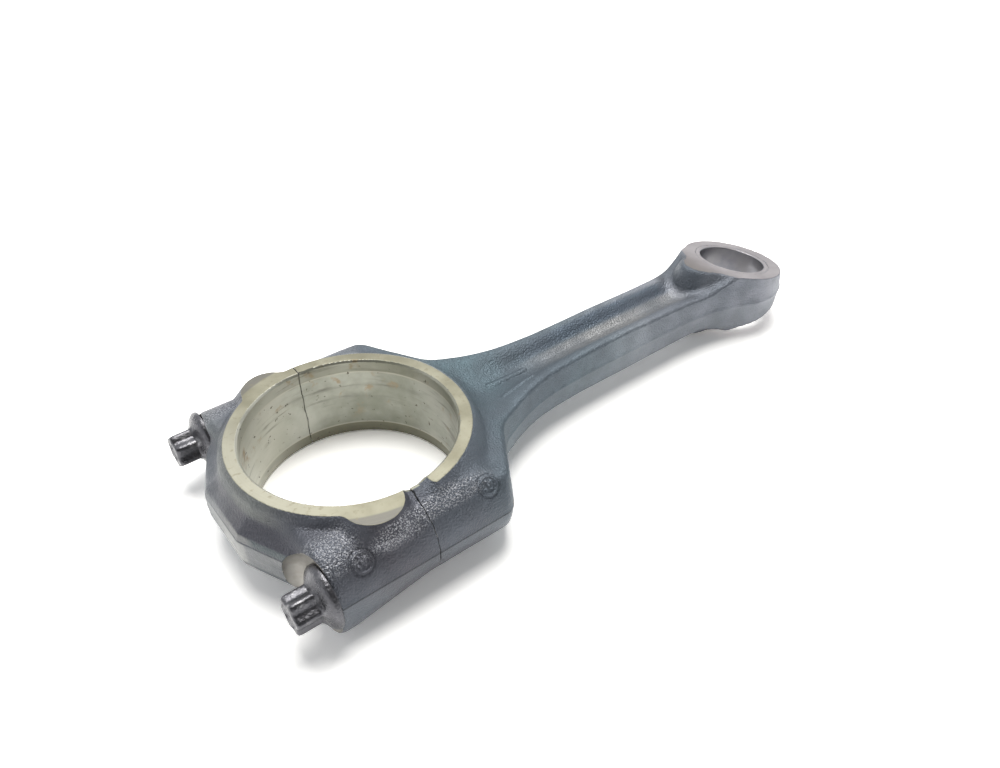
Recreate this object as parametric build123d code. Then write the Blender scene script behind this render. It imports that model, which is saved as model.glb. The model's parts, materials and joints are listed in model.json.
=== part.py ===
from build123d import *
import os
from math import radians, tan

# Connecting rod of a small four-stroke car engine, lying flat: a forged rod body with an I-section
# shank, a fracture-split bearing cap, a pressed pin bush and two cap bolts. +Z runs along both bores,
# +X from the big end to the small end. The origin is the centre of the big-end bore. Millimetres.

# Bores and overall width
CENTRES = 144.0
BIG_BORE_R = 26.5
HALF_WIDTH = 12.4  # half the width over the machined thrust faces
BORE_CHAMFER = 0.5

# Big end
RING_R = 29.8  # edge of the thrust face
RING_STEP = 0.8  # the thrust face stands this far above the forging
HUB_R = 32.4  # forged wall round the bore at the parting plane
DRAFT = 5.0  # degrees, on forged walls
BOSS_SIDE = 37.5  # side of a bolt boss at the parting plane
BOSS_ROUND = 10.8
SHOULDER_X = 22.0  # end of the bolt boss on the rod side
SHOULDER_FLAT = 14.0  # the boss's upper side starts to fall here
SHOULDER_FOOT = (23.5, 7.4)  # and meets the flanges here
RELIEF_HALF = 4.0  # the thrust face stops this far from the split on one side

# Cap
CROWN_X = -35.2
CROWN_HALF = 9.4
FACET_X, FACET_Y = -29.2, 22.3
CROWN_INNER_Y = 26.3  # half width of the crown where the bolt bosses cover it
CROWN_EDGE_HALF = 3.0  # half height of the crown's outer face
CROWN_BEVEL = 18.0  # degrees from upright, above and below the outer face
LEDGE_START = 4.4  # height where the crown's ledge would leave the outer face
LEDGE_SLOPE = 50.0  # degrees from upright, up to the hub
SEAT_X = -25.4
SCALLOP_R = 11.0  # spot face round each bolt head
PAD_X, PAD_Y, PAD_R = -8.8, 25.6, 7.0  # widening of the cap's upper thrust face

# Shank
FLANGE_HALF = 6.8  # half depth of the I section
WEB_HALF = 2.7
SHANK_HALF = 9.3  # half width of the I section
FLANGE_WIDTH = 2.8
FLANGE_BEVEL = 1.2  # depth of the bevel along the flanges' outer edges
BEVEL_ANGLE = 32.0  # degrees from upright
POCKET_DRAFT = 18.0  # degrees, on the flanges' inner walls
POCKET_CORNER = 3.0
RIB_HEIGHT = 0.5
RIB_WIDTH = 0.9

# The shank's outline at the parting plane, as (x, half width)
SLANT_END = (31.8, 21.1)
NECK = (41.0, 14.9)
WAIST_START = (62.0, 9.8)
FLARE_START = 100.0
FLARE = (121.0, 10.3)

# Small end
BUSH_BORE_R = 10.5
BUSH_OUTER_R = 12.0
EYE_R = 16.9  # forged wall at the parting plane
EYE_DRAFT = 6.0  # degrees, on the forged wall
EYE_TAPER = 12.2  # degrees, on each face
EYE_HALF = 7.3  # half width at the pin's axis
TONGUE_X = 127.6  # centre of the rounded tongue that carries the eye's face into the shank
TONGUE_R = 6.6

# Cap bolts
BOLT_Y = 32.2
BOLT_R = 4.0
BOLT_LENGTH = 45.0  # under the flange
FIT_LENGTH = 6.0  # full shank under the head
WAIST_R = 3.7
TIP_CHAMFER = 0.8
THREAD_LENGTH = 24.0
TAPPED_R = 4.06
CLEARANCE_R = 4.3
TAPPED_DEPTH = 22.0  # blind, below the split; its end is hidden in the shoulder
HEAD_FLANGE_R = 7.6
HEAD_FLANGE_T = 1.5
HEAD_CONE_R = 4.7
HEAD_CONE_T = 1.6
HEAD_TOP = 9.1  # head height over the seat
LOBE_PITCH_R = 3.45
LOBE_R = 1.25
HEAD_CORE_R = 3.7

FORGED_HALF = HALF_WIDTH - RING_STEP
OVER = 1.0  # how far cutting tools run past the metal


def disc(radius, half_height, x=0.0, y=0.0):
    """Upright cylinder centred on the mid plane."""
    return Pos(x, y, 0) * Cylinder(radius, 2 * half_height)


def rod_along_x(radius, start, end, y):
    """Cylinder along X between two stations."""
    middle = (start + end) / 2
    return Pos(middle, y, 0) * Rot(0, 90, 0) * Cylinder(radius, end - start)


def plate(outline, half_height, taper=0.0):
    """Plate about the mid plane from a closed outline, widest in the middle when it has draft."""
    face = make_face(outline)
    upper = extrude(face, half_height, taper=taper)
    return upper + mirror(upper, about=Plane.XY)


def closed(*points):
    return Polyline(*points, close=True)


def both_sides(half):
    return half + mirror(half, about=Plane.XZ)


def big_end_section(start, end):
    """Bar along X with the rounded section of the two bolt bosses."""
    profile = RectangleRounded(2 * BOSS_SIDE, 2 * FORGED_HALF, BOSS_ROUND)
    return Pos(start, 0, 0) * extrude(Plane.YZ * profile, end - start)


def hub():
    """Forged wall round the bore, with draft, and the raised thrust ring on both faces."""
    top_r = HUB_R - FORGED_HALF * tan(radians(DRAFT))
    upper = Pos(0, 0, FORGED_HALF / 2) * Cone(HUB_R, top_r, FORGED_HALF)
    return upper + mirror(upper, about=Plane.XY) + disc(RING_R, HALF_WIDTH)


def big_bore():
    """Cutter for the housing bore with its edge chamfers."""
    mouth_r = BIG_BORE_R + BORE_CHAMFER
    edge = Pos(0, 0, HALF_WIDTH - BORE_CHAMFER / 2) * Cone(BIG_BORE_R, mouth_r, BORE_CHAMFER)
    return disc(BIG_BORE_R, HALF_WIDTH + OVER) + edge + mirror(edge, about=Plane.XY)


def side_of_split(rod_side):
    """Block holding everything on one side of the fracture plane."""
    reach = 250.0
    x = reach / 2 if rod_side else -reach / 2
    return Pos(x, 0, 0) * Box(reach, reach, reach)


def thrust_relief():
    """Cutters that drop the thrust face beside the split on the -Y side."""
    y = -(BIG_BORE_R + BOSS_SIDE) / 2
    length = BOSS_SIDE - BIG_BORE_R + 2 * OVER
    block = Pos(0, y, FORGED_HALF + OVER) * Box(2 * RELIEF_HALF, length, 2 * OVER)
    return block + mirror(block, about=Plane.XY)


def neck_edge():
    """One side of the shank's outline at the parting plane, from the shoulder to the eye."""
    shoulder = Line((0, BOSS_SIDE), (SHOULDER_X - 1.4, BOSS_SIDE))
    bend, corner_end = (SHOULDER_X + 0.6, BOSS_SIDE - 0.8), (SHOULDER_X + 1.7, BOSS_SIDE - 2.6)
    corner = ThreePointArc(shoulder @ 1, bend, corner_end)
    slant = Line(corner @ 1, SLANT_END)
    neck = Spline(slant @ 1, NECK, WAIST_START, tangents=(slant % 1, (1, -0.03)))
    waist = Line(neck @ 1, (FLARE_START, SHANK_HALF))
    flare = Spline(waist @ 1, FLARE, (CENTRES - 9.5, EYE_R - 3.1), tangents=(waist % 1, (1, 0.55)))
    return shoulder, corner, slant, neck, waist, flare


def rod_outline():
    """Closed outline of the rod side, without the eye."""
    upper = Curve() + list(neck_edge())
    lower = mirror(upper, about=Plane.XZ)
    tip = Line(lower @ 1, upper @ 1)
    base = Line(upper @ 0, lower @ 0)
    return Wire(lower.edges() + [tip] + upper.edges() + [base])


def pocket():
    """Web recess on the upper face: wide by the big end, narrow along the shank."""
    inner = SHANK_HALF - FLANGE_WIDTH
    outline = [(35.6, 12.0), (44.0, 9.0), (54.0, inner + 0.3), (68.0, inner - 0.4), (118.5, inner - 0.4)]
    mirrored = [(x, -y) for x, y in reversed(outline)]
    face = fillet(make_face(closed(*outline, *mirrored)).vertices(), POCKET_CORNER)
    depth = FLANGE_HALF - WEB_HALF
    return Pos(0, 0, FLANGE_HALF) * extrude(face, -depth, taper=POCKET_DRAFT)


def web_rib(start, end, y_start, y_end):
    """Low stiffening rib on the web near the big end."""
    line = Line((start, y_start), (end, y_end))
    return extrude(trace(line, RIB_WIDTH), WEB_HALF + RIB_HEIGHT, both=True)


def eye_faces():
    """The two wedges that a tapered small end loses, one above and one below."""
    slope = tan(radians(EYE_TAPER))
    start = CENTRES - (HALF_WIDTH - EYE_HALF) / slope
    end = CENTRES + EYE_R + 4 * OVER
    tip_half = EYE_HALF - slope * (end - CENTRES)
    top = HALF_WIDTH + OVER
    profile = closed((start, HALF_WIDTH), (end, tip_half), (end, top), (start, top))
    wedge = extrude(Plane.XZ * make_face(profile), EYE_R + 4 * OVER, both=True)
    return wedge + mirror(wedge, about=Plane.XY)


def eye():
    """Forged eye round the pin bush, with draft, and the tongue that reaches along the shank."""
    around = plate(CenterArc((CENTRES, 0), EYE_R, 0, 360), HALF_WIDTH, taper=EYE_DRAFT)
    flank = closed(
        (TONGUE_X, TONGUE_R),
        (CENTRES - 6, EYE_R - 1.2),
        (CENTRES - 6, 1.2 - EYE_R),
        (TONGUE_X, -TONGUE_R),
    )
    tongue = plate(CenterArc((TONGUE_X, 0), TONGUE_R, 0, 360), HALF_WIDTH, taper=EYE_DRAFT)
    return around + tongue + plate(flank, HALF_WIDTH, taper=EYE_DRAFT)


def shank_blank(outline):
    """Drafted plate to the flanges' depth, with its outer edges bevelled."""
    face = make_face(outline)
    side_height = FLANGE_HALF - FLANGE_BEVEL
    crest = Pos(0, 0, side_height) * extrude(face, FLANGE_BEVEL, taper=BEVEL_ANGLE)
    upper = extrude(face, FLANGE_HALF, taper=DRAFT) & (extrude(face, side_height) + crest)
    return upper + mirror(upper, about=Plane.XY)


def shoulders(outline):
    """Bolt bosses of the rod side, sloping down from the hub to the flanges."""
    end = 36.0
    side_view = closed(
        (0, FORGED_HALF),
        (SHOULDER_FLAT, FORGED_HALF),
        SHOULDER_FOOT,
        (end, FLANGE_HALF - 1),
        (end, 0),
        (0, 0),
    )
    slope = extrude(Plane.XZ * make_face(side_view), BOSS_SIDE + OVER, both=True)
    slopes = slope + mirror(slope, about=Plane.XY)
    return extrude(make_face(outline), FORGED_HALF, both=True) & big_end_section(0, end) & slopes


def rod_body():
    outline = rod_outline()
    recess = pocket()
    body = hub() + shoulders(outline) + shank_blank(outline) - recess - mirror(recess, about=Plane.XY)
    body += web_rib(43.0, 54.8, 0.0, 0.0)
    body += web_rib(42.0, 53.4, -7.3, -5.4)
    body += eye()
    body -= eye_faces()
    body = body & side_of_split(True)
    body -= big_bore() + thrust_relief()
    body -= disc(BUSH_OUTER_R, HALF_WIDTH + OVER, CENTRES)
    for side in (-1, 1):
        body -= rod_along_x(TAPPED_R, -OVER, TAPPED_DEPTH, side * BOLT_Y)
    return body


def crown_outline():
    return closed(
        (0, CROWN_INNER_Y),
        (SEAT_X, CROWN_INNER_Y),
        (FACET_X, FACET_Y),
        (CROWN_X, CROWN_HALF),
        (CROWN_X, -CROWN_HALF),
        (FACET_X, -FACET_Y),
        (SEAT_X, -CROWN_INNER_Y),
        (0, -CROWN_INNER_Y),
    )


def crown():
    """Thick outer rim of the cap: an upright band, a bevel and a ledge that rises to the hub."""
    face = make_face(crown_outline())
    band = extrude(face, CROWN_EDGE_HALF)
    bevel = Pos(0, 0, CROWN_EDGE_HALF) * extrude(face, FORGED_HALF - CROWN_EDGE_HALF, taper=CROWN_BEVEL)
    ledge = Pos(0, 0, LEDGE_START) * extrude(face, FORGED_HALF - LEDGE_START, taper=LEDGE_SLOPE)
    upper = (band + bevel) & (extrude(face, LEDGE_START) + ledge)
    return upper + mirror(upper, about=Plane.XY)


def bearing_cap():
    widening = both_sides(Pos(PAD_X, PAD_Y, HALF_WIDTH / 2) * Cylinder(PAD_R, HALF_WIDTH))
    cap = hub() + crown() + big_end_section(SEAT_X, 0) + widening
    cap = cap & side_of_split(False)
    cap -= big_bore() + thrust_relief()
    for side in (-1, 1):
        y = side * BOLT_Y
        cap -= rod_along_x(CLEARANCE_R, SEAT_X - OVER, OVER, y)
        cap -= rod_along_x(SCALLOP_R, CROWN_X - OVER, SEAT_X, y)
    return cap


def small_end_bush():
    tube = disc(BUSH_OUTER_R, HALF_WIDTH, CENTRES) - disc(BUSH_BORE_R, HALF_WIDTH + OVER, CENTRES)
    return tube - eye_faces()


def cap_bolt(side):
    """Waisted screw with a flanged six-lobe head, lying along X with its head on the cap's seat."""
    y = side * BOLT_Y
    neck_end = SEAT_X + BOLT_LENGTH - THREAD_LENGTH
    tip = SEAT_X + BOLT_LENGTH
    thread_start = neck_end + 1.0
    bolt = rod_along_x(BOLT_R, SEAT_X, SEAT_X + FIT_LENGTH, y) + rod_along_x(WAIST_R, SEAT_X, thread_start, y)
    bolt += chamfer(rod_along_x(BOLT_R, neck_end, tip, y).edges().group_by(Axis.X)[-1], TIP_CHAMFER)
    bolt += rod_along_x(HEAD_FLANGE_R, SEAT_X - HEAD_FLANGE_T, SEAT_X, y)
    cone_x = SEAT_X - HEAD_FLANGE_T - HEAD_CONE_T / 2
    bolt += Pos(cone_x, y, 0) * Rot(0, -90, 0) * Cone(HEAD_FLANGE_R - 0.5, HEAD_CONE_R, HEAD_CONE_T)
    drive = Circle(HEAD_CORE_R) + PolarLocations(LOBE_PITCH_R, 6) * Circle(LOBE_R)
    head = Pos(SEAT_X - HEAD_TOP, y, 0) * extrude(Plane.YZ * drive, HEAD_TOP)
    return bolt + head


def main():
    os.makedirs("parts", exist_ok=True)
    pieces = {
        "rod_body": rod_body(),
        "bearing_cap": bearing_cap(),
        "small_end_bush": small_end_bush(),
        "cap_bolt_left": cap_bolt(1),
        "cap_bolt_right": cap_bolt(-1),
    }
    for name, piece in pieces.items():
        export_step(piece, f"parts/{name}.step")


main()
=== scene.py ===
import json
import math

import bpy
import numpy as np
from mathutils import Matrix, Vector


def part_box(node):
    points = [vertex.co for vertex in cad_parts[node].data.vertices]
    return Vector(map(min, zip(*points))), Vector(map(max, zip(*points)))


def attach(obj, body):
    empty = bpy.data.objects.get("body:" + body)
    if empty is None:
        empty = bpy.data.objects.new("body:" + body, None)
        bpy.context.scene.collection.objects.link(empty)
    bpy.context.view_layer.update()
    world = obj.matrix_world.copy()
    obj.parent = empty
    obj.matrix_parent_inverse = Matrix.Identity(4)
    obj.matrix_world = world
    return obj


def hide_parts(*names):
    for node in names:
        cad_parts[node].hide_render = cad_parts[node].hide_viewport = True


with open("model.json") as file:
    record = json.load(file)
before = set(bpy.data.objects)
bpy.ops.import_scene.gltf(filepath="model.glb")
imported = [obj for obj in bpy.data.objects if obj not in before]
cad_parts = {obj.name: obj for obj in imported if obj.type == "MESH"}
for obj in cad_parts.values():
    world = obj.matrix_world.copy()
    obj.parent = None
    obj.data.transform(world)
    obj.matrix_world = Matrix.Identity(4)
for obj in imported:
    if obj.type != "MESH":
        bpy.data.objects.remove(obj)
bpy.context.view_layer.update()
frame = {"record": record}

# The forged rod and its cap are meshed from distance fields, which give forging fillets, draft and true
# machined faces. Those fields work in millimetres, in the part's own frame; meshes are scaled to metres.
MM = 0.001
MOUNTS = {m["name"]: m for m in frame["record"]["mounts"]}
BORE_R = MOUNTS["big_end_bore"]["dims"]["r_mm"]
PIN_R = MOUNTS["small_end_bore"]["dims"]["r_mm"]
CENTRES = MOUNTS["small_end_bore"]["pos_m"][0] / MM
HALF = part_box("rod_body")[1].z / MM  # half the width over the thrust faces
EYE_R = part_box("rod_body")[1].x / MM - CENTRES
BOSS_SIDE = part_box("rod_body")[1].y / MM
CROWN_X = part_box("bearing_cap")[0].x / MM
BUSH_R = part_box("small_end_bush")[1].y / MM
BOLT_LOW, BOLT_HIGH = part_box("cap_bolt_left")
BOLT_Y = (BOLT_LOW.y + BOLT_HIGH.y) / 2 / MM
BOLT_START, BOLT_TIP = BOLT_LOW.x / MM, BOLT_HIGH.x / MM
COLLAR_R = (BOLT_HIGH.y - BOLT_LOW.y) / 2 / MM

# Big end: the bore, the hub round it and the two bolt bosses
DRAFT = math.tan(math.radians(5))
BORE_CHAMFER = 0.5
HUB_R = 32.4
HUB_EDGE = 3.0
RAW_HALF = HALF + 0.4  # the forging before its faces are machined
RELIEF_HALF = 4.0  # the dip in the -Y side of the hub, across the parting
RELIEF_DEPTH = 1.6
BOSS_HALF = 11.4
BOSS_ROUND = 10.8
BOSS_END = 26.0  # where the bosses' section opens and the neck's outline takes over

# Half depth of the bolt bosses' upper side along x, which falls into the web, as (x, value, slope)
SHOULDER = [(6.0, 12.6, 0.0), (15.0, 10.9, -0.34), (23.5, 7.4, -0.40), (33.0, 4.1, -0.28), (44.0, 1.4, -0.2)]

# Half width of the rod's outline and half depth of its flanges, in the same form
NECK = [(31.8, 21.4, -1.55), (40.0, 15.3, -0.48), (50.0, 11.6, -0.27), (62.0, 9.8, -0.06), (100.0, 9.4, 0.0),
        (121.0, 10.3, 0.14), (134.5, 13.8, 0.42)]
CREST = [(24.0, 7.6, 0.0), (42.0, 6.2, 0.0), (60.0, 6.7, 0.0), (90.0, 6.9, -0.02), (110.0, 6.5, 0.0),
         (122.0, 6.5, 0.15), (136.0, 9.6, 0.2)]

# Shank
WEB_HALF = 2.9
WEB_FILLET = 3.8
FLANGE_WIDTH = 3.7
FLANGE_EDGE = 1.6
FLANGE_INSIDE = math.tan(math.radians(34))
MOUTH = (54.0, 36.0)  # between these x the flanges spread into the big end
RIB_R = 0.85
RIBS = [(43.0, 54.8, 0.0, 0.0, 0.0), (42.0, 53.4, -7.3, -5.4, 0.2)]  # both x, both y, how much lower

# Eye, with the tongue that carries its tapered face towards the shank
EYE_DRAFT = math.tan(math.radians(6))
EYE_HALF = 7.3
EYE_SLOPE = math.tan(math.radians(12.2))
EYE_SWELL = 3.0
TONGUE_START = 127.6
TONGUE_R = 6.1
TONGUE_HALF = 11.5
TONGUE_SIDE = math.tan(math.radians(22))

# Half depth of the ground beside the tongue, which rises from the web to the eye
RISE = [(117.0, 2.0, 0.0), (123.0, 4.2, 0.75), (129.0, 8.4, 0.45), (136.0, 10.0, 0.1)]

# Cap
CROWN_CORNER = (CROWN_X + 0.25, 9.4)
FACET_END = (-29.2, 22.3)
CROWN_BAND = 3.0  # half height of the outer face; then a bevel, then a ledge up to the hub
CROWN_BEVEL = math.tan(math.radians(18))
LEDGE_START = 4.6
LEDGE_SLOPE = 0.78
PAD_X, PAD_Y, PAD_R = -8.8, 25.6, 7.0
PAD_RIM = math.tan(math.radians(38))
PAD_DEPTH = 3.2
BOSS_DROP = 1.4  # towards the bolt heads the bosses' upper side falls by this
BOSS_SQUARING = 5.0  # and the radius of their lower corner shrinks by this
SEAT_X = -25.4
SCALLOP_R = 11.8
SCALLOP_FILLET = 4.2

# Bolt holes, the fracture between rod and cap, and the forging's details
HOLE_R = 4.3
TAPPED_R = 4.06
TAPPED_DEPTH = 22.0
COUNTERSINK = 0.6
CRACK_GAP = 0.10
MARKS = [(16.3, 7.6, 2.1), (-17.4, 8.5, 2.2)]  # x, |y| from the boss's round centre, radius
MARK_DEPTH = 0.40
FLASH_HEIGHT, FLASH_HALF = 0.16, 0.55


# ---- distance fields ------------------------------------------------------------------------------

def both(a, b, radius):
    """Overlap of two fields, with the convex edge between them rounded."""
    outside = np.hypot(np.maximum(a + radius, 0), np.maximum(b + radius, 0))
    return np.minimum(np.maximum(a, b), -radius) + outside


def either(a, b, radius):
    """Union of two fields, with the corner between them filled."""
    return -both(-a, -b, radius)


def part_way(value, start, end):
    """0 at start, 1 at end, straight between them and level beyond."""
    return np.clip((value - start) / (end - start), 0, 1)


def ridge(distance, width):
    """Bell-shaped ridge of height 1."""
    return np.exp(-((distance / width) ** 2))


def along(x, knots):
    """Smooth curve through (x, value, slope) knots, straight beyond its ends."""
    xs, ys, slopes = np.array(knots).T
    i = np.clip(np.searchsorted(xs, x) - 1, 0, len(xs) - 2)
    span = xs[i + 1] - xs[i]
    raw = (x - xs[i]) / span
    t = np.clip(raw, 0, 1)
    value = ys[i] + t * t * (3 - 2 * t) * (ys[i + 1] - ys[i])
    value = value + span * t * (1 - t) * ((1 - t) * slopes[i] - t * slopes[i + 1])
    return value + span * (np.minimum(raw, 0) * slopes[i] + np.maximum(raw - 1, 0) * slopes[i + 1])


def grain(x, y, z, size, seed):
    """Smooth random field between -1 and 1 whose lumps are about one size across."""
    cells = 32
    table = np.random.default_rng(seed).uniform(-1, 1, (cells, cells, cells)).astype(np.float32)
    corners, blends = [], []
    for values in (x, y, z):
        scaled = np.asarray(values) / size
        low = np.floor(scaled)
        t = scaled - low
        index = low.astype(np.int64)
        corners.append((index % cells, (index + 1) % cells))
        blends.append(t * t * (3 - 2 * t))
    total = 0
    for i in (0, 1):
        for j in (0, 1):
            for k in (0, 1):
                weight = (blends[0] if i else 1 - blends[0]) * (blends[1] if j else 1 - blends[1])
                weight = weight * (blends[2] if k else 1 - blends[2])
                total = total + weight * table[corners[0][i], corners[1][j], corners[2][k]]
    return total


def crack(y, z):
    """How far the fracture between rod and cap wanders from the plane x = 0."""
    y, z = np.broadcast_arrays(y, z)
    zero = np.zeros(y.shape)
    return 0.22 * grain(zero, y, z, 3.1, 5) + 0.10 * grain(zero, y, z, 0.9, 6)


def boss_section(side, height, corner=BOSS_ROUND):
    """Bar along X with the rounded section of the two bolt bosses."""
    a = side - (BOSS_SIDE - corner)
    b = height - (BOSS_HALF - corner)
    return np.hypot(np.maximum(a, 0), np.maximum(b, 0)) + np.minimum(np.maximum(a, b), 0) - corner


def hub(x, y, height):
    """Forged wall round the big bore, left high so that machining cuts the thrust ring on it."""
    wall = np.hypot(x, y) - HUB_R + height * DRAFT
    relief = part_way(np.abs(x), RELIEF_HALF + 1.5, RELIEF_HALF - 1.5) * (y < 0)
    depth = RELIEF_DEPTH + 0.5 * np.maximum(np.hypot(x, y) - BORE_R - 1.5, 0)
    return both(wall, height - RAW_HALF + depth * relief, HUB_EDGE)


def neck(x, side):
    """Distance to the outline of the shank and of the shoulders' slanted ends."""
    step = 0.05
    slope = (along(x + step, NECK) - along(x - step, NECK)) / (2 * step)
    return (side - along(x, NECK)) / np.sqrt(1 + slope * slope)


def shank_top(x, side, height):
    """Thin web between two flanges with sloping inner walls, before the outline cuts them."""
    crest = along(x, CREST)
    spread = part_way(x, *MOUTH)
    inside = FLANGE_INSIDE + 0.8 * spread
    inner = -(neck(x, side) + FLANGE_WIDTH + (crest - height) * inside) / np.hypot(1, inside)
    flange = both(height - crest, inner, FLANGE_EDGE)
    return either(flange, height - WEB_HALF, WEB_FILLET + 1.5 * spread)


def ribs(x, y, web):
    """Low ribs draped on the web near the big end: one in the middle, one beside the -Y flange."""
    def rib(start, end, y_start, y_end, lower):
        t = part_way(x, start, end)
        away = np.hypot(x - start - t * (end - start), y - y_start - t * (y_end - y_start))
        return np.hypot(away, web) - RIB_R + lower
    return np.minimum(rib(*RIBS[0]), rib(*RIBS[1]))


def shoulder_top(x, height):
    """Upper side of the bolt bosses, falling towards the web."""
    return 0.92 * (height - along(x, SHOULDER))


def beside_tongue(x, height):
    """Ground that rises from the web to the eye on both sides of the tongue."""
    return 0.85 * (height - along(x, RISE))


def eye_top(x, y, height):
    """The raised eye and its tongue."""
    swell = EYE_SWELL * part_way(x, CENTRES - 11.0, CENTRES - 7.0)
    around = np.hypot(x - CENTRES, y) - EYE_R - swell + height * EYE_DRAFT
    reach = np.hypot(x - np.clip(x, TONGUE_START, CENTRES), y)
    tongue = (reach - TONGUE_R + (height - TONGUE_HALF) * TONGUE_SIDE) / math.hypot(1, TONGUE_SIDE)
    return either(around, tongue, 3.0)


def rod_wall(x, y, height):
    """Outer wall of the whole forging, with its draft: bosses, shank and eye."""
    side = np.abs(y)
    bosses = boss_section(side, height) - np.maximum(x - BOSS_END, 0)
    wall = both(bosses, neck(x, side) + height * DRAFT, 1.8)
    wall = np.maximum(wall, x - CENTRES + 6.0)
    around = np.hypot(x - CENTRES, y) - EYE_R + 0.25 + height * EYE_DRAFT
    return np.minimum(wall, around)


def eye_face(x, height):
    """The tapered machined faces of the small end."""
    return (height - EYE_HALF - (CENTRES - x) * EYE_SLOPE) / math.hypot(1, EYE_SLOPE)


def forged(surface, x, y, z):
    """Adds the flash line along the parting plane and the uneven skin of a forging."""
    x, y, z, surface = np.broadcast_arrays(x, y, z, surface)
    surface = surface.copy()
    near = np.abs(surface) < 1.2
    p = x[near], y[near], z[near]
    skin = 0.022 * grain(*p, 3.4, 1) + 0.012 * grain(*p, 1.5, 2)
    flash = FLASH_HEIGHT * ridge(p[2], FLASH_HALF) * (0.75 + 0.25 * grain(*p, 2.0, 3))
    surface[near] += skin - flash
    return surface


def mark(surface, x, y, z, station, across, radius):
    """Raised ring with a pip and a few dots, pressed on the boss's round edge by the forging die."""
    height = math.sqrt(BOSS_ROUND ** 2 - across ** 2)
    out = np.array([0, -across, height]) / BOSS_ROUND
    centre = np.array([station, -(BOSS_SIDE - BOSS_ROUND + across), BOSS_HALF - BOSS_ROUND + height])
    u = x - centre[0]
    v = (y - centre[1]) * out[2] - (z - centre[2]) * out[1]
    depth = (y - centre[1]) * out[1] + (z - centre[2]) * out[2]
    reach = np.hypot(u, v)
    ring = ridge(reach - radius, 0.24) - 0.5 * ridge(reach - radius - 0.6, 0.24)
    dots = 0.7 * ridge(reach, 0.42)
    for turn in np.radians([30, 100, 215, 290]):
        spot = np.hypot(u - 0.55 * radius * np.cos(turn), v - 0.55 * radius * np.sin(turn))
        dots = dots + 0.9 * ridge(spot, 0.34)
    return surface - MARK_DEPTH * (ring + dots) * (np.abs(depth) < 2.0)


def machine_big_end(surface, x, y, height):
    """Faces the thrust rings and bores the housing with its edge chamfers."""
    r = np.hypot(x, y)
    surface = np.maximum(surface, height - HALF)
    surface = np.maximum(surface, BORE_R - r)
    return np.maximum(surface, (BORE_R - HALF + BORE_CHAMFER + height - r) / math.sqrt(2))


def bolt_hole(surface, x, side, z, radius, start, end):
    """Drills both bolt holes from start to end, countersunk at the parting."""
    off_axis = np.hypot(side - BOLT_Y, z)
    countersink = (radius + COUNTERSINK - np.abs(x) - off_axis) / math.sqrt(2)
    hole = np.minimum(np.maximum(radius - off_axis, countersink), np.minimum(x - start, end - x))
    return np.maximum(surface, hole)


def rod_field(x, y, z):
    """The rod: forged shapes first, each blend with its fillet's radius, then the machining."""
    side, height = np.abs(y), np.abs(z)
    body = shank_top(x, side, height)
    body = either(body, ribs(x, y, body), 0.4)
    body = either(body, shoulder_top(x, height), 3.4)
    body = either(body, beside_tongue(x, height), 2.0)
    body = either(body, eye_top(x, y, height), 3.0)
    body = both(body, rod_wall(x, y, height), 1.0 + 0.5 * part_way(x, 44.0, 30.0))
    body = either(body, hub(x, y, height), 1.2 + 6.0 * part_way(x, 12.0, 28.0))
    body = forged(body, x, y, z)
    body = mark(body, x, y, z, *MARKS[0])
    body = both(body, eye_face(x, height), 0.25 + 0.9 * part_way(x, 134.0, 124.0))
    body = machine_big_end(body, x, y, height)
    body = np.maximum(body, BUSH_R - np.hypot(x - CENTRES, y))
    body = bolt_hole(body, x, side, z, TAPPED_R, -1.0, TAPPED_DEPTH)
    return both(body, crack(y, z) + CRACK_GAP / 2 - x, 0.12)


def crown(x, side, height):
    """Thick outer rim of the cap: an upright band, a bevel and a ledge that rises to the hub."""
    def edge(start, end):
        dx, dy = end[0] - start[0], end[1] - start[1]
        return ((x - start[0]) * -dy + (side - start[1]) * dx) / math.hypot(dx, dy)
    flank = (SEAT_X + 1.0, FACET_END[1] + 4.0)
    rim = both(CROWN_X + 0.1 - x, edge(CROWN_CORNER, FACET_END), 0.35)
    rim = both(rim, edge(FACET_END, flank), 0.8)
    rim = np.maximum(rim, side - flank[1])
    bevel = (rim + (height - CROWN_BAND) * CROWN_BEVEL) / math.hypot(1, CROWN_BEVEL)
    ledge = (height - LEDGE_START + rim * LEDGE_SLOPE) / math.hypot(1, LEDGE_SLOPE)
    return both(both(rim, bevel, 0.25), ledge, 0.35)


def pad(x, side, z):
    """Widening of the upper thrust face beside each bolt, with a sloping rim."""
    reach = np.hypot(x - PAD_X, side - PAD_Y)
    rim = (reach - PAD_R - np.minimum(HALF - z, PAD_DEPTH) * PAD_RIM) / math.hypot(1, PAD_RIM)
    return np.maximum(both(rim, z - RAW_HALF, 0.4), -z)


def seat(x, side, z):
    """Rounded pocket that the spot facer leaves round a bolt head; negative in the open."""
    return both(np.hypot(side - BOLT_Y, z) - SCALLOP_R, x - SEAT_X, SCALLOP_FILLET)


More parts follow.
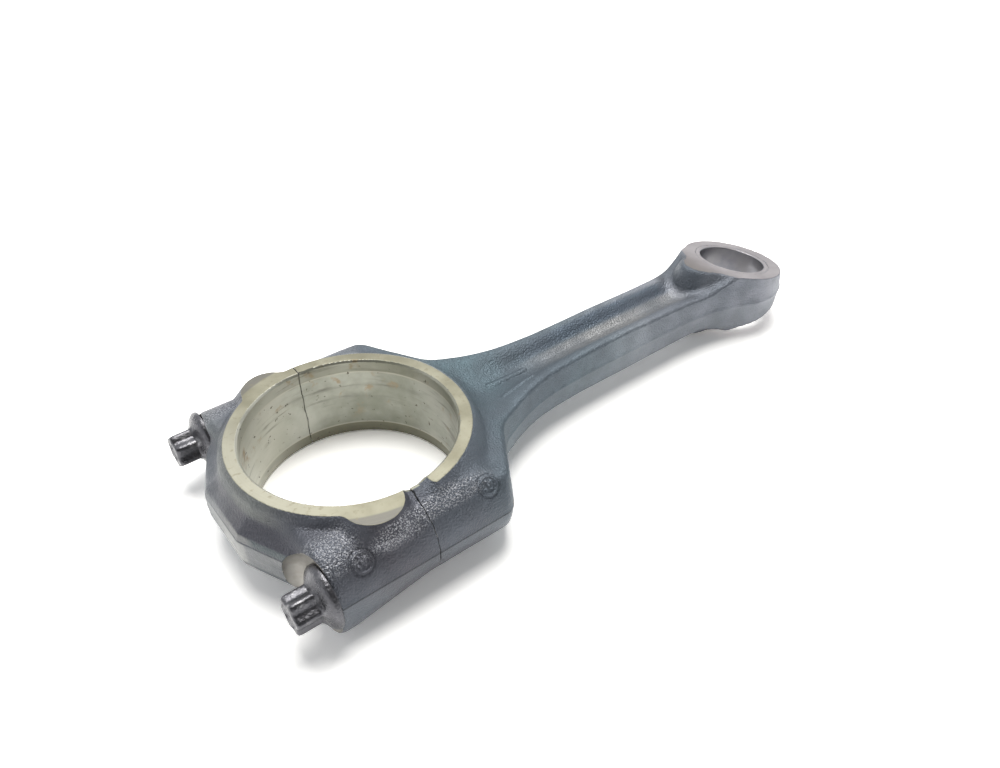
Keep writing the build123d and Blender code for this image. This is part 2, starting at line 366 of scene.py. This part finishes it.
def cap_field(x, y, z):
    """The cap, in the same order. Only its upper side has the pads and the falling bosses."""
    side, height = np.abs(y), np.abs(z)
    drop = np.where(z > 0, BOSS_DROP * part_way(x, -2.0, -14.0), 0.0)
    corner = np.where(z > 0, BOSS_ROUND, BOSS_ROUND - BOSS_SQUARING * part_way(x, -2.0, -22.0))
    bar = both(boss_section(side, height + drop, corner), SEAT_X - 1.2 - x, 2.2)
    body = both(either(crown(x, side, height), bar, 2.2), height - BOSS_HALF, 1.5)
    body = either(body, hub(x, y, height), 1.2)
    body = forged(body, x, y, z)
    body = mark(body, x, y, z, *MARKS[1])
    body = either(body, pad(x, side, z), 0.8)
    body = machine_big_end(body, x, y, height)
    body = np.maximum(body, -seat(x, side, z))
    body = bolt_hole(body, x, side, z, HOLE_R, SEAT_X - 1.0, 1.0)
    return both(body, x - crack(y, z) + CRACK_GAP / 2, 0.12)


def bush_field(x, y, z):
    """The pin bush, cut to the eye's taper, with an oil hole towards the shank."""
    r = np.hypot(x - CENTRES, y)
    tube = both(r - BUSH_R, eye_face(x, np.abs(z)) + 0.02, 0.15)
    tube = both(tube, PIN_R - r, 0.3)
    oil_hole = 1.0 - np.hypot(y, z)
    return np.maximum(tube, np.where(x < CENTRES, oil_hole, -1.0))


# ---- meshing ----------------------------------------------------------------------------------------

def gradient(field, p):
    """Unit gradient of a field at scattered points, from the corners of a small tetrahedron."""
    step = 0.015
    total = 0
    for corner in ((1, -1, -1), (-1, -1, 1), (-1, 1, -1), (1, 1, 1)):
        corner = np.array(corner, float)
        q = p + step * corner
        total = total + corner * field(q[:, 0], q[:, 1], q[:, 2])[:, None]
    return total / np.maximum(np.linalg.norm(total, axis=1, keepdims=True), 1e-9)


def axis(low, high, cell, fine=()):
    """Grid stations from low to high, spaced by cell, or more closely inside the fine stretches."""
    stations, at = [], low - 1.5 * cell
    while at < high + 2.5 * cell:
        stations.append(at)
        at += min([cell] + [step for start, end, step in fine if start <= at < end])
    return np.array(stations)


def crossings(field, axes):
    """Where the grid's edges cut a field's zero surface, the normals there and the four cells round each."""
    values = field(*np.ix_(*axes))
    hits, normals, cells = [], [], []
    for d in range(3):
        e, f = (d + 1) % 3, (d + 2) % 3
        low, high = [slice(1, -1)] * 3, [slice(1, -1)] * 3
        low[d], high[d] = slice(0, -1), slice(1, None)
        a, b = values[tuple(low)], values[tuple(high)]
        where = np.nonzero((a < 0) != (b < 0))
        corner = np.stack(where, 1)
        corner[:, [e, f]] += 1
        split = a[where] / (a[where] - b[where])
        p = np.stack([axes[k][corner[:, k]] for k in range(3)], 1)
        p[:, d] += split * (axes[d][corner[:, d] + 1] - axes[d][corner[:, d]])
        ring = []
        for back_e, back_f in ((0, 0), (1, 0), (1, 1), (0, 1)):
            cell = corner.copy()
            cell[:, e] -= back_e
            cell[:, f] -= back_f
            ring.append(np.ravel_multi_index(cell.T, values.shape))
        ring = np.stack(ring, 1)
        ring[a[where] > 0] = ring[a[where] > 0][:, ::-1]
        hits.append(p)
        normals.append(gradient(field, p))
        cells.append(ring)
    return np.concatenate(hits), np.concatenate(normals), np.concatenate(cells), values.shape


def contour(field, axes):
    """Points and quads on a field's zero surface, with its sharp edges kept (dual contouring)."""
    hits, normals, cells, shape = crossings(field, axes)
    used, quads = np.unique(cells.ravel(), return_inverse=True)
    quads = quads.reshape(-1, 4)
    count = len(used)
    owner, hits, normals = quads.ravel(), np.repeat(hits, 4, 0), np.repeat(normals, 4, 0)
    number = np.bincount(owner, minlength=count)[:, None]
    middle = np.stack([np.bincount(owner, hits[:, k], count) for k in range(3)], 1) / number
    # Each cell's point lies where the tangent planes of its hits meet, held near their middle
    offset = ((hits - middle[owner]) * normals).sum(1)
    right = np.stack([np.bincount(owner, normals[:, k] * offset, count) for k in range(3)], 1)
    left = np.empty((count, 3, 3))
    for i in range(3):
        for j in range(3):
            left[:, i, j] = np.bincount(owner, normals[:, i] * normals[:, j], count)
    left += 0.06 * number[:, :, None] * np.eye(3)
    points = middle + np.linalg.solve(left, right[:, :, None])[:, :, 0]
    corner = np.stack(np.unravel_index(used, shape), 1)
    for k in range(3):
        points[:, k] = np.clip(points[:, k], axes[k][corner[:, k]], axes[k][corner[:, k] + 1])
    return points, quads


def carved(node, field, cell, fine_x=(), fine_y=(), fine_z=()):
    """Points and quads of a field, over its CAD node's box."""
    low, high = (np.array(corner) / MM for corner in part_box(node))
    axes = [axis(low[k], high[k], cell, fine) for k, fine in enumerate((fine_x, fine_y, fine_z))]
    points, faces = contour(field, axes)
    return np.clip(points, low, high), faces


def mesh_piece(name, points, faces, field):
    """Blender object from points in millimetres, shaded with the field's own normals."""
    mesh = bpy.data.meshes.new(name)
    mesh.from_pydata((points * MM).tolist(), [], faces.tolist())
    mesh.shade_smooth()
    loops = points[faces]
    centre = loops.mean(1, keepdims=True)
    sample = (0.72 * loops + 0.28 * centre).reshape(-1, 3)
    mesh.normals_split_custom_set(gradient(field, sample).tolist())
    piece = bpy.data.objects.new(name, mesh)
    bpy.context.scene.collection.objects.link(piece)
    return piece


def paint(piece, materials, choose, points, faces):
    """Gives each face the material that choose() picks for its centre."""
    for material in materials:
        piece.data.materials.append(material)
    centre = points[faces].mean(1)
    piece.data.polygons.foreach_set("material_index", choose(*centre.T).astype(np.int32))


def stand_for(piece, node):
    """Puts a piece in its CAD node's place, on that node's body."""
    body = next(b for b, nodes in frame["record"]["behaviour"]["bodies"].items() if node in nodes)
    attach(piece, body)
    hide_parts(node)


# ---- bolts --------------------------------------------------------------------------------------------

PITCH = 1.25
WAIST_R = 3.7
THREAD_RISE, THREAD_DEPTH = 0.30, 0.68  # the crest over the waist, and the crest over the root
LOBE_R, LOBE_DEPTH = 4.06, 0.50
CONE = (SEAT_X - 3.7, SEAT_X - 2.1)  # from the lobes to the collar
THREAD = (SEAT_X + 21.0, BOLT_TIP)
SEGMENTS = 96

# Rings from the head's end: its dish by radius, the drive by share of the lobes. Then rings from the
# seat: the collar by inset from its edge, the shank by radius
DISH = [(0.45, 0.9), (0.42, 2.2), (0.15, 2.9)]
DRIVE = [(0.02, 0.80), (0.06, 0.88), (0.28, 0.955), (0.75, 0.99), (1.2, 1.0), (3.4, 1.0), (5.1, 1.0)]
COLLAR = [(-1.75, 0.55), (-1.35, 0.2), (-0.95, 0.0), (-0.3, 0.0), (0.0, 0.35)]
SHANK = [(0.0, 4.5), (0.4, 4.1), (0.8, 4.0), (6.0, 4.0), (6.5, WAIST_R)]


def bolt_rings():
    """Rings of radius around the bolt's own axis, from the head's dished end to the tip."""
    turn = np.linspace(0, 2 * math.pi, SEGMENTS, endpoint=False)
    circle = np.ones(SEGMENTS)
    lobes = LOBE_R + LOBE_DEPTH * np.cos(6 * turn) + 0.03 * np.cos(12 * turn)
    rings = [(BOLT_START + x, radius * circle) for x, radius in DISH]
    rings += [(BOLT_START + x, scale * lobes) for x, scale in DRIVE]
    for t in np.linspace(0, 1, 10):
        width = 4.6 + 1.7 * t + 0.3 * t ** 3
        rounding = 1 - (1 - t) ** 2
        radius = np.maximum(lobes, rounding * width + (1 - rounding) * lobes)
        rings.append((CONE[0] + t * (CONE[1] - CONE[0]), radius))
    rings += [(SEAT_X + x, (COLLAR_R - inset) * circle) for x, inset in COLLAR]
    rings += [(SEAT_X + x, radius * circle) for x, radius in SHANK]
    rings.append((THREAD[0] - 0.3, WAIST_R * circle))
    for x in np.arange(THREAD[0], THREAD[1] - 0.05, PITCH / 10):
        phase = (x / PITCH - turn / (2 * math.pi)) % 1
        tooth = np.clip(1.35 * (np.abs(2 * phase - 1) - 0.5) + 0.5, 0, 1)
        run_in = min(1, (x - THREAD[0]) / PITCH)
        radius = WAIST_R + run_in * (THREAD_RISE - THREAD_DEPTH * (1 - tooth))
        rings.append((x, np.minimum(radius, 3.2 + 0.9 * (THREAD[1] - x))))
    rings += [(THREAD[1], 3.0 * circle), (THREAD[1], 1.2 * circle)]
    return turn, rings


def bolt(name, node, spin):
    """A cap bolt in its CAD node's place, turned by spin radians on its axis."""
    turn, rings = bolt_rings()
    y = (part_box(node)[0].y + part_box(node)[1].y) / 2 / MM
    across, up = np.cos(turn + spin), np.sin(turn + spin)
    points = np.concatenate([np.stack([np.full(SEGMENTS, x), y + radius * across, radius * up], 1)
                             for x, radius in rings])
    i = np.arange(SEGMENTS)
    faces = [np.stack([r * SEGMENTS + i, r * SEGMENTS + (i + 1) % SEGMENTS,
                       (r + 1) * SEGMENTS + (i + 1) % SEGMENTS, (r + 1) * SEGMENTS + i], 1)
             for r in range(len(rings) - 1)]
    ends = [list(i[::-1]), list(i + (len(rings) - 1) * SEGMENTS)]
    mesh = bpy.data.meshes.new(name)
    mesh.from_pydata((points * MM).tolist(), [], np.concatenate(faces).tolist() + ends)
    mesh.flip_normals()
    mesh.shade_smooth()
    mesh.set_sharp_from_angle(angle=math.radians(38))
    mesh.materials.append(bolt_steel())
    piece = bpy.data.objects.new(name, mesh)
    bpy.context.scene.collection.objects.link(piece)
    stand_for(piece, node)


# ---- materials ------------------------------------------------------------------------------------------

class Shader:
    """Short calls for a node material whose coordinates are the part's own, in metres."""

    def __init__(self, name):
        self.material = bpy.data.materials.new(name)
        self.material.use_nodes = True
        self.tree = self.material.node_tree
        self.surface = self.tree.nodes["Principled BSDF"]
        self.place = self.add("ShaderNodeTexCoord").outputs["Object"]

    def add(self, kind, settings=None, **inputs):
        node = self.tree.nodes.new(kind)
        for key, value in (settings or {}).items():
            setattr(node, key, value)
        self.feed(node, {key.replace("_", " "): value for key, value in inputs.items()})
        return node

    def feed(self, node, inputs):
        """Sets or links inputs by name, or by number as i0, i1 and so on."""
        for key, value in inputs.items():
            socket = node.inputs[int(key[1:]) if key[0] == "i" and key[1:].isdigit() else key]
            if isinstance(value, bpy.types.NodeSocket):
                self.tree.links.new(value, socket)
            else:
                socket.default_value = value

    def maths(self, operation, a, b=0.0):
        return self.add("ShaderNodeMath", {"operation": operation}, i0=a, i1=b).outputs[0]

    def times(self, first, *others):
        for other in others:
            first = self.maths("MULTIPLY", first, other)
        return first

    def noise(self, size, detail=3.0, rough=0.55, where=None):
        """Noise between 0 and 1 with lumps about one size across, in millimetres."""
        node = self.add("ShaderNodeTexNoise", Vector=where or self.place, Scale=0.6 / (size * MM),
                        Detail=detail, Roughness=rough)
        return node.outputs["Fac"]

    def ramp(self, value, low, high, start=0.0, end=1.0):
        """Smooth step of a value from low to high, turned into start to end."""
        node = self.add("ShaderNodeMapRange", {"interpolation_type": "SMOOTHSTEP"}, Value=value, From_Min=low,
                        From_Max=high, To_Min=start, To_Max=end)
        return node.outputs["Result"]

    def between(self, value, rise, fall):
        """1 inside a stretch of a value, with a soft start over rise and a soft end over fall."""
        return self.times(self.ramp(value, *rise), self.ramp(value, *fall, 1.0, 0.0))

    def mix(self, share, a, b):
        node = self.add("ShaderNodeMix", {"data_type": "RGBA", "blend_type": "MIX"}, i0=share)
        for index, value in ((6, a), (7, b)):
            if isinstance(value, bpy.types.NodeSocket):
                self.tree.links.new(value, node.inputs[index])
            else:
                node.inputs[index].default_value = (*value, 1.0)
        return node.outputs[2]

    def bump(self, height, depth, strength=1.0, normal=None):
        """Bump whose full height is depth millimetres."""
        node = self.add("ShaderNodeBump", Strength=strength, Distance=depth * MM, Height=height)
        if normal is not None:
            self.tree.links.new(normal, node.inputs["Normal"])
        return node.outputs["Normal"]

    def parts(self):
        """X, Y and Z of the surface point, in millimetres."""
        node = self.add("ShaderNodeSeparateXYZ", Vector=self.place)
        return [self.maths("MULTIPLY", node.outputs[k], 1 / MM) for k in range(3)]

    def join(self, x, y, z):
        """Vector from three values in millimetres."""
        node = self.add("ShaderNodeCombineXYZ")
        for k, value in enumerate((x, y, z)):
            self.feed(node, {"XYZ"[k]: self.maths("MULTIPLY", value, MM)})
        return node.outputs[0]

    def finish(self, colour, metallic, roughness, normal=None, **more):
        self.feed(self.surface, {"Base Color": colour, "Metallic": metallic, "Roughness": roughness})
        self.feed(self.surface, {key.replace("_", " "): value for key, value in more.items()})
        if normal is not None:
            self.tree.links.new(normal, self.surface.inputs["Normal"])
        return self.material


def once(make):
    """Each material is made once and shared."""
    made = {}

    def get():
        if make not in made:
            made[make] = make()
        return made[make]
    return get


# Colours of the forging's skin, by zone. Several stand for light and shade, painted: a paler shank and cap
# end, lit and shaded faces of the crown, shaded walls, glints and floor light below the parting line.
FORGING = {
    "big end": (0.080, 0.080, 0.094),
    "neck": (0.080, 0.120, 0.138),
    "shank": (0.270, 0.277, 0.310),
    "painted light on the far side of the cap": (0.225, 0.22, 0.226),
    "tongue": (0.085, 0.095, 0.11),
    "painted light on the web floor": (0.275, 0.272, 0.268),
    "painted shade on the flange wall": (0.095, 0.125, 0.165),
    "painted light on the crown front": (0.34, 0.34, 0.33),
    "painted light on the crown flank": (0.20, 0.205, 0.207),
    "painted light on the bevel front": (0.23, 0.23, 0.225),
    "painted shade on the bevel flank": (0.10, 0.115, 0.12),
    "painted light on the hub wall": (0.165, 0.175, 0.165),
    "painted shade on the crown crease": (0.05, 0.055, 0.06),
    "broad patches": (0.11, 0.13, 0.155),
    "small patches": (0.075, 0.085, 0.10),
    "painted_glints": (0.40, 0.405, 0.43),
    "painted floor light on the lower side": (0.40, 0.42, 0.44),
    "parting line": (0.02, 0.024, 0.028),
    "ring edge": (0.27, 0.262, 0.2),
}


def shank_light_and_shade(s, x, y, height, tint):
    """Painted shade round the tongue, painted light on the floor of the web and painted shade on the inner
    wall of the +Y flange.
    """
    # Painted shade round the tongue, darkest high up on its walls.
    tongue = s.times(s.between(x, (114, 119), (128, 133)), s.ramp(height, 4.0, 6.5, 0.0, 0.9),
                     s.ramp(y, -7.0, -4.0, 0.3, 1.0))
    tint = s.mix(tongue, tint, FORGING["tongue"])
    # Painted light on the floor of the web and painted shade on the inner wall of the +Y flange, along the
    # shank.
    shank = s.between(x, (50, 66), (112, 121))
    floor = s.times(s.ramp(y, -5.2, -3.0), s.ramp(y, 1.5, 3.6, 0.8, 0.0))
    tint = s.mix(s.times(shank, floor), tint, FORGING["painted light on the web floor"])
    wall = s.times(s.ramp(y, 2.0, 3.6), s.ramp(y, 5.8, 7.0, 0.8, 0.0))
    return s.mix(s.times(shank, wall), tint, FORGING["painted shade on the flange wall"])


def crown_light_and_shade(s, x, y, height, tint):
    """Painted light and shade on the cap's crown: a lit outer face, its bevel lit in front and shaded on the
    flank, a shaded crease between them and a lit wall of the hub above.
    """
    # Painted light on the outer face, brightest on the front facet; the bevel above it gets painted light in
    # front and painted shade on its flank.
    rim = s.ramp(x, -29.5, -26.5, 1.0, 0.0)
    face = s.mix(s.ramp(x, -34.6, -33.9), FORGING["painted light on the crown front"], FORGING["painted light on the crown flank"])
    tint = s.mix(s.times(rim, s.ramp(height, 3.0, 3.4, 1.0, 0.0)), tint, face)
    bevel = s.mix(s.ramp(x, -33.8, -32.6), FORGING["painted light on the bevel front"], FORGING["painted shade on the bevel flank"])
    tint = s.mix(s.times(rim, s.between(height, (3.4, 3.6), (4.9, 5.2))), tint, bevel)
    # Painted light on the hub's wall above the crown, at the cap's end.
    hub_wall_light = s.times(s.ramp(y, -22, -8, 0.0, 0.8), s.ramp(x, -27, -21, 1.0, 0.0), s.ramp(height, 7.4, 9.0))
    tint = s.mix(hub_wall_light, tint, FORGING["painted light on the hub wall"])
    # Painted shade in the crease between the outer face and the bevel.
    return s.mix(s.times(rim, s.between(height, (2.9, 3.1), (3.2, 3.5))), tint, FORGING["painted shade on the crown crease"])


def painted_crest_glints(s, x, y, height, tint):
    """Painted glints: bright dots of colour along the bosses' crest and round the bolt heads."""
    side = s.maths("ABSOLUTE", y)
    across = s.maths("SUBTRACT", side, s.ramp(x, -16, 4, 3.0, 0.0))
    along_crest = s.between(across, (29.6, 31.6), (33.6, 35.2))
    near_head = s.times(s.ramp(x, -19, -14, 0.75, 0.0), s.ramp(side, 24, 27))
    zone = s.times(s.between(height, (5.6, 8.2), (11.5, 12.0)), s.maths("MAXIMUM", along_crest, near_head))
    # Painted glints: bright dots scattered over the crest zone.
    painted_glints = s.times(s.ramp(s.noise(0.20, 2, 0.6), 0.50, 0.60), zone, s.ramp(x, 8, 22, 0.85, 0.0))
    return s.mix(painted_glints, tint, FORGING["painted_glints"])


def floor_light_and_parting_line(s, x, z, tint):
    """Painted floor light that makes the forging paler below the parting plane, and the dark parting line
    along the bosses.
    """
    # Painted floor light: the forging is made paler below the parting plane.
    lower = s.times(s.ramp(z, -0.6, -0.3, 0.14, 0.0), s.ramp(x, -29, -26))
    tint = s.mix(lower, tint, FORGING["painted floor light on the lower side"])
    bosses = s.times(s.ramp(x, -29, -26, 0.0, 0.75), s.ramp(x, 22, 32, 1.0, 0.0))
    line = s.between(z, (-0.60, -0.35), (-0.10, 0.10))
    return s.mix(s.times(line, bosses), tint, FORGING["parting line"])


@once
def forged_steel():
    """Dark oily forging skin: fine grain, blue-grey with teal and violet casts, and light and shade painted
    into several zones.
    """
    s = Shader("forged_steel")
    x, y, z = s.parts()
    height = s.maths("ABSOLUTE", z)
    broad, middle, fine = s.noise(22), s.noise(3.5, 4), s.noise(0.30, 2, 0.6)
    tint = s.mix(s.ramp(x, 5, 35), FORGING["big end"], FORGING["neck"])
    # Partly painted light: the shank's grey is its own tone, made paler to stand for the floor's light on its
    # sides.
    tint = s.mix(s.ramp(x, 46, 132), tint, FORGING["shank"])
    # Painted light: the far half of the cap's end is made paler.
    far_side_light = s.times(s.ramp(x, -30, -18, 1.0, 0.0), s.ramp(y, -12, 6))
    tint = s.mix(far_side_light, tint, FORGING["painted light on the far side of the cap"])
    tint = shank_light_and_shade(s, x, y, height, tint)
    tint = crown_light_and_shade(s, x, y, height, tint)
    tint = s.mix(s.ramp(broad, 0.35, 0.7, 0, 0.7), tint, FORGING["broad patches"])
    tint = s.mix(s.ramp(middle, 0.35, 0.75, 0, 0.35), tint, FORGING["small patches"])
    tint = painted_crest_glints(s, x, y, height, tint)
    tint = floor_light_and_parting_line(s, x, z, tint)
    tint = s.mix(s.ramp(z, HALF - 0.10, HALF - 0.05), tint, FORGING["ring edge"])
    rough = s.maths("ADD", s.ramp(middle, 0.3, 0.7, 0.38, 0.48), s.ramp(broad, 0.3, 0.7, -0.03, 0.05))
    return s.finish(tint, 0.75, rough, s.bump(fine, 0.34))


@once
def thrust_face():
    """Ground face: pale gold-grey with fine rings and stains."""
    s = Shader("thrust_face")
    x, y, z = s.parts()
    r = s.maths("SQRT", s.maths("ADD", s.times(x, x), s.times(y, y)))
    rings = s.noise(0.22, 2, 0.5, s.join(r, 0.0, 0.0))
    blotch, speck = s.noise(7, 4), s.noise(0.8, 3)
    tint = s.mix(s.ramp(blotch, 0.3, 0.7), (0.20, 0.19, 0.13), (0.32, 0.31, 0.235))
    # Painted reflection: the face is paler towards the cap's end.
    tint = s.mix(s.ramp(x, -28, -14, 0.6, 0), tint, (0.42, 0.41, 0.34))
    tint = s.mix(s.ramp(r, 30.8, 31.6, 0, 0.85), tint, (0.13, 0.127, 0.12))
    tint = s.mix(s.ramp(speck, 0.56, 0.72, 0, 0.6), tint, (0.20, 0.18, 0.12))
    tint = s.mix(s.ramp(rings, 0.3, 0.8, 0, 0.25), tint, (0.28, 0.26, 0.19))
    normal = s.bump(rings, 0.02, 0.6, s.bump(speck, 0.03, 0.5))
    return s.finish(tint, 0.55, s.ramp(blotch, 0.3, 0.7, 0.38, 0.5), normal)


@once
def housing_bore():
    """Honed wall of the big bore: a darker band near each face with a pale line at its edge, streaks, pits
    and rust.
    """
    s = Shader("housing_bore")
    x, y, z = s.parts()
    arc = s.times(s.maths("ARCTAN2", y, x), BORE_R)
    height = s.maths("ABSOLUTE", z)
    tint = s.mix(s.ramp(s.noise(9, 4), 0.3, 0.7), (0.225, 0.235, 0.19), (0.42, 0.425, 0.375))
    # Painted light: the wall is paler in the cap's half.
    tint = s.mix(s.ramp(x, -12, 0, 0.55, 0), tint, (0.60, 0.59, 0.51))
    streaks = s.noise(1.0, 4, 0.6, s.join(s.times(arc, 0.10), 0.0, z))
    zone = s.ramp(s.noise(11, 2), 0.42, 0.62)
    tint = s.mix(s.times(s.ramp(streaks, 0.52, 0.68), zone), tint, (0.20, 0.20, 0.17))
    rust = s.times(s.ramp(s.noise(2.6, 4), 0.55, 0.7), s.ramp(s.noise(14, 1), 0.5, 0.6))
    tint = s.mix(rust, tint, (0.30, 0.22, 0.13))
    # Darker band within about 3.5 mm of each face, darkest towards the lower face and the rod's half, with a
    # pale line along its inner edge.
    band = s.times(s.ramp(height, 8.75, 9.0), s.ramp(z, -1.0, 1.0, 0.9, 0.5), s.ramp(x, -16, 4, 0.35, 1.0))
    tint = s.mix(band, tint, (0.17, 0.165, 0.12))
    line = s.times(s.between(height, (8.35, 8.7), (8.85, 9.1)), 0.5)
    tint = s.mix(line, tint, (0.50, 0.48, 0.40))
    pits = s.ramp(s.noise(0.9, 3), 0.66, 0.72)
    tint = s.mix(pits, tint, (0.12, 0.11, 0.09))
    hone = s.noise(0.25, 2, 0.5, s.join(s.times(arc, 0.06), 0.0, z))
    normal = s.bump(hone, 0.02, 0.6, s.bump(pits, -0.05, 0.5))
    return s.finish(tint, 0.6, s.ramp(streaks, 0.3, 0.7, 0.3, 0.45), normal)


@once
def eye_ground():
    """Ground faces of the small end: warm grey, browner near the tongue."""
    s = Shader("eye_ground")
    x, y, z = s.parts()
    tint = s.mix(s.ramp(s.noise(6, 4), 0.3, 0.7), (0.26, 0.24, 0.25), (0.36, 0.335, 0.345))
    tint = s.mix(s.ramp(x, 121, 137, 0.85, 0), tint, (0.125, 0.108, 0.096))
    tint = s.mix(s.ramp(s.noise(1.0, 3), 0.6, 0.75, 0, 0.4), tint, (0.25, 0.23, 0.22))
    lines = s.noise(0.3, 2, 0.5, s.join(x, s.times(y, 0.05), 0.0))
    return s.finish(tint, 0.55, 0.42, s.bump(lines, 0.02, 0.5))


@once
def spot_faced():
    """Turned seats and drilled walls: grey-brown bare steel."""
    s = Shader("spot_faced")
    tint = s.mix(s.ramp(s.noise(3, 4), 0.3, 0.7), (0.22, 0.21, 0.19), (0.36, 0.345, 0.32))
    return s.finish(tint, 0.75, 0.38, s.bump(s.noise(0.5, 2), 0.02, 0.5))


@once
def fracture_steel():
    """Bright grain of the fracture-split faces."""
    s = Shader("fracture_steel")
    grains = s.noise(0.35, 2)
    tint = s.mix(s.ramp(grains, 0.35, 0.65), (0.16, 0.16, 0.165), (0.36, 0.36, 0.37))
    return s.finish(tint, 0.8, 0.42, s.bump(grains, 0.12))


@once
def bush_bronze():
    """Oil-stained bronze of the pin bush."""
    s = Shader("bush_bronze")
    x, y, z = s.parts()
    tint = s.mix(s.ramp(s.noise(5, 4), 0.3, 0.7), (0.23, 0.235, 0.265), (0.33, 0.325, 0.34))
    lines = s.noise(0.3, 2, 0.5, s.join(s.times(x, 0.08), s.times(y, 0.08), z))
    return s.finish(tint, 0.85, 0.30, s.bump(lines, 0.015, 0.5))


@once
def bolt_steel():
    """Black phosphated bolt, wet with oil."""
    s = Shader("bolt_steel")
    wear = s.ramp(s.noise(1.6, 4), 0.5, 0.72)
    tint = s.mix(wear, (0.105, 0.105, 0.115), (0.22, 0.22, 0.23))
    rough = s.ramp(s.noise(2.2, 3), 0.3, 0.7, 0.24, 0.36)
    return s.finish(tint, 0.8, rough, s.bump(s.noise(0.35, 2), 0.16))


# ---- pieces -----------------------------------------------------------------------------------------------

def on_forging(x, y, z):
    """0 forging, 1 thrust face, 2 bore, 3 fracture, 4 drilled or spot-faced, 5 eye's face."""
    r, side, height = np.hypot(x, y), np.abs(y), np.abs(z)
    index = np.zeros(len(x))
    index[(height > HALF - 0.02) & (r < BOSS_SIDE + 3)] = 1
    index[r < BORE_R + BORE_CHAMFER + 0.1] = 2
    away = np.abs(x - crack(y, z)) - CRACK_GAP / 2
    index[(away < 0.06) & (r > BORE_R + 0.02)] = 3
    hole = np.hypot(side - BOLT_Y, z)
    index[(hole < HOLE_R + 0.02) & (x > SEAT_X - 0.1) & (x < TAPPED_DEPTH + 0.1)] = 4
    index[(np.abs(seat(x, side, z)) < 0.04) & (x < SEAT_X + 0.1)] = 4
    index[(np.abs(eye_face(x, height)) < 0.03) & (x > 100)] = 5
    index[np.abs(np.hypot(x - CENTRES, y) - BUSH_R) < 0.02] = 4
    return index


def on_bush(x, y, z):
    """0 bronze, 1 the ends ground with the eye's faces."""
    return np.where(np.abs(eye_face(x, np.abs(z)) + 0.02) < 0.02, 1, 0)


def forging(name, node, field, cell, fine):
    points, faces = carved(node, field, cell, *fine)
    piece = mesh_piece(name, points, faces, field)
    materials = [forged_steel(), thrust_face(), housing_bore(), fracture_steel(), spot_faced(), eye_ground()]
    paint(piece, materials, on_forging, points, faces)
    stand_for(piece, node)


def bush():
    points, faces = carved("small_end_bush", bush_field, 0.4)
    piece = mesh_piece("pin_bush", points, faces, bush_field)
    paint(piece, [bush_bronze(), eye_ground()], on_bush, points, faces)
    stand_for(piece, "small_end_bush")


# ---- stage ------------------------------------------------------------------------------------------------

def build_floor():
    """A white table, bright enough that little more than the part's shadows shows on it."""
    bpy.ops.mesh.primitive_plane_add(size=8.0, location=(0, 0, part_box("rod_body")[0].z))
    floor = bpy.context.object
    floor.name = "floor"
    s = Shader("white_table")
    s.finish((1.32, 1.32, 1.31, 1.0), 0.0, 0.7, Specular_IOR_Level=0.0)
    s.feed(s.surface, {"Emission Color": (1.0, 0.99, 0.97, 1.0), "Emission Strength": 0.12})
    floor.data.materials.append(s.material)


def build_room():
    """A bright room that darkens high up on the viewer's side."""
    world = bpy.data.worlds.new("room")
    bpy.context.scene.world = world
    world.use_nodes = True
    nodes, links = world.node_tree.nodes, world.node_tree.links
    place = nodes.new("ShaderNodeTexCoord")
    towards = nodes.new("ShaderNodeVectorMath")
    towards.operation = "DOT_PRODUCT"
    towards.inputs[1].default_value = Vector((-0.15, -0.55, 0.82)).normalized()
    links.new(place.outputs["Generated"], towards.inputs[0])
    shade = nodes.new("ShaderNodeMapRange")
    shade.interpolation_type = "SMOOTHSTEP"
    for key, value in {"From Min": 0.38, "From Max": 0.88, "To Min": 1.04, "To Max": 0.0}.items():
        shade.inputs[key].default_value = value
    links.new(towards.outputs["Value"], shade.inputs["Value"])
    back = nodes["Background"]
    back.inputs["Color"].default_value = (0.97, 0.985, 1.0, 1.0)
    links.new(shade.outputs["Result"], back.inputs["Strength"])


def build_lamp():
    """A soft round lamp overhead."""
    place, target = Vector((0.14, 0.15, 0.74)), Vector((0.05, 0, 0))
    light = bpy.data.lights.new("lamp", "AREA")
    light.shape, light.size, light.energy, light.color = "DISK", 0.55, 6.6, (1.0, 0.98, 0.95)
    lamp = bpy.data.objects.new("lamp", light)
    lamp.location = place
    lamp.rotation_euler = (target - place).to_track_quat("-Z", "Y").to_euler()
    bpy.context.scene.collection.objects.link(lamp)


def build_camera():
    """The photo's view, as solved from the circles and axes seen in it."""
    data = bpy.data.cameras.new("camera")
    data.lens, data.sensor_width = 29.58, 36.0
    data.clip_start, data.clip_end = 0.005, 20.0
    camera = bpy.data.objects.new("camera", data)
    place, target = Vector((-0.06379, -0.14262, 0.14189)), Vector((0.04835, 0.00247, 0.0))
    aim = (target - place).to_track_quat("-Z", "Y").to_matrix().to_4x4()
    roll = Matrix.Rotation(math.radians(-0.71), 4, "Z")
    camera.matrix_world = Matrix.Translation(place) @ aim @ roll
    bpy.context.scene.collection.objects.link(camera)
    bpy.context.scene.camera = camera


# The grid's finer stretches, along x, y and z, cover the parting and each forging's mark
forging("rod_forging", "rod_body", rod_field, 0.52,
        ([(-1, 0.8, 0.25), (13.8, 18.8, 0.25)], [(-36.8, -31.4, 0.25)], [(6, 10, 0.25)]))
forging("cap_forging", "bearing_cap", cap_field, 0.45,
        ([(-20, -14.8, 0.25), (-0.8, 1, 0.25)], [(-37.5, -32.4, 0.25)], [(5.5, 10, 0.25)]))
bush()
bolt("left_bolt", "cap_bolt_left", 0.35)
bolt("right_bolt", "cap_bolt_right", 0.84)
build_floor()
build_room()
build_lamp()
build_camera()
bpy.context.scene.view_settings.view_transform = "Standard"
